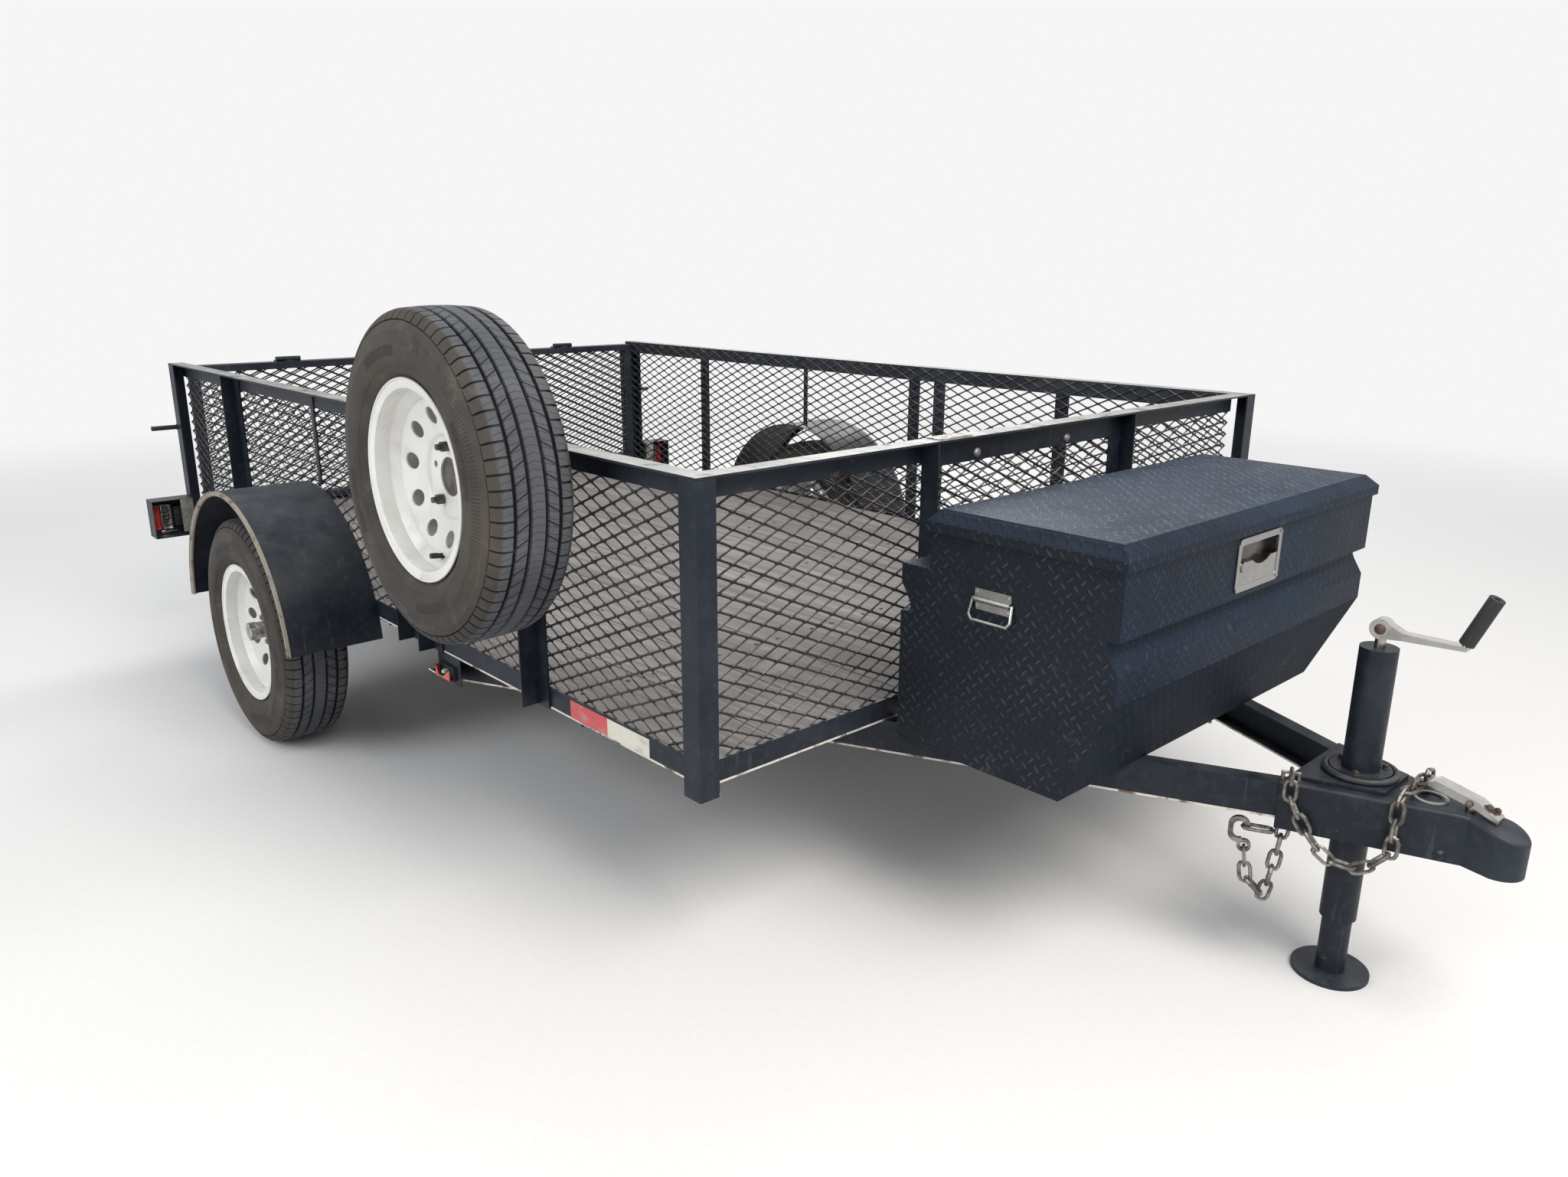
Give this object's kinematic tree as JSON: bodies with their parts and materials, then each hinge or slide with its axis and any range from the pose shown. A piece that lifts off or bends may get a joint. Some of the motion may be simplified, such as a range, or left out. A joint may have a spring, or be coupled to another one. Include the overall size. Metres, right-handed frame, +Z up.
{
  "type": "utility trailer",
  "caption": "Single-axle utility trailer with expanded-metal sides, plank deck, folding mesh gate, tongue toolbox, side spare wheel and top-wind jack.",
  "frame": {"origin": "floor level under the middle of the trailer's overall box", "axes": "+X forward to the coupler, +Y to the trailer's left, +Z up"},
  "size_m": [4.2448, 2.5404, 1.332],
  "materials": {
    "amber_lens": "gloss",
    "black_grip": "matt",
    "bright_steel": "bright",
    "dark_paint": "worn satin",
    "hub_steel": "worn",
    "red_lens": "gloss",
    "tread_plate": "satin",
    "tyre_rubber": "matt",
    "weathered_wood": "weathered grey",
    "white_wheel": "gloss"
  },
  "bodies": {
    "chassis": {"bottom_rails": "dark_paint", "top_rails": "dark_paint", "posts": "dark_paint", "front_strap": "dark_paint", "mesh_right": "dark_paint", "mesh_left": "dark_paint", "mesh_front": "dark_paint", "deck_planks": "weathered_wood", "cross_members": "dark_paint", "tongue_beams": "dark_paint", "coupler": "dark_paint", "coupler_latch": "bright_steel", "safety_chains": "hub_steel", "jack_tube": "dark_paint", "toolbox_body": "tread_plate", "toolbox_ends": "tread_plate", "toolbox_hinge": "dark_paint", "toolbox_latch": "bright_steel", "toolbox_handles": "bright_steel", "axle": "dark_paint", "leaf_springs": "dark_paint", "spring_mounts": "dark_paint", "fender_right": "dark_paint", "fender_left": "dark_paint", "spare_carrier": "dark_paint", "spare_rim": "white_wheel", "spare_tyre": "tyre_rubber", "gate_hinges": "dark_paint", "gate_latches": "dark_paint", "lamp_boxes": "dark_paint", "tail_lamps": "red_lens", "marker_lamps": "amber_lens"},
    "wheel_right": {"wheel_right_rim": "white_wheel", "wheel_right_tyre": "tyre_rubber", "wheel_right_hub": "hub_steel"},
    "wheel_left": {"wheel_left_rim": "white_wheel", "wheel_left_tyre": "tyre_rubber", "wheel_left_hub": "hub_steel"},
    "gate_lower": {"gate_lower_frame": "dark_paint", "gate_lower_mesh": "dark_paint"},
    "gate_upper": {"gate_upper_frame": "dark_paint", "gate_upper_mesh": "dark_paint"},
    "jack_leg": {"jack_ram": "dark_paint"},
    "crank": {"jack_crank": "bright_steel", "jack_grip": "black_grip"},
    "lid": {"toolbox_lid": "tread_plate"}
  },
  "joints": [
    {"name": "wheel_right_spin", "type": "hinge", "parent": "chassis", "child": "wheel_right", "pos_m": [-0.9096, -1.14075, 0.344], "axis": [0, 1, 0], "continuous": true},
    {"name": "wheel_left_spin", "type": "hinge", "parent": "chassis", "child": "wheel_left", "pos_m": [-0.9096, 1.15725, 0.344], "axis": [0, 1, 0], "continuous": true},
    {"name": "gate_hinge", "type": "hinge", "parent": "chassis", "child": "gate_lower", "pos_m": [-2.1094, 0.00825, 0.4768], "axis": [0, -1, 0], "range_deg": [0, 115]},
    {"name": "gate_fold", "type": "hinge", "parent": "gate_lower", "child": "gate_upper", "pos_m": [-2.06, 0.00825, 1.054], "axis": [0, -1, 0], "range_deg": [0, 180]},
    {"name": "jack_slide", "type": "slide", "parent": "chassis", "child": "jack_leg", "axis": [0, 0, 1], "range_m": [-0.15, 0.1]},
    {"name": "jack_crank_turn", "type": "hinge", "parent": "chassis", "child": "crank", "pos_m": [1.8194, 0.00825, 0.742], "axis": [0, 0, 1], "continuous": true},
    {"name": "toolbox_lid_hinge", "type": "hinge", "parent": "chassis", "child": "lid", "pos_m": [1.1349, 0.00825, 0.905], "axis": [0, -1, 0], "range_deg": [0, 90]}
  ]
}
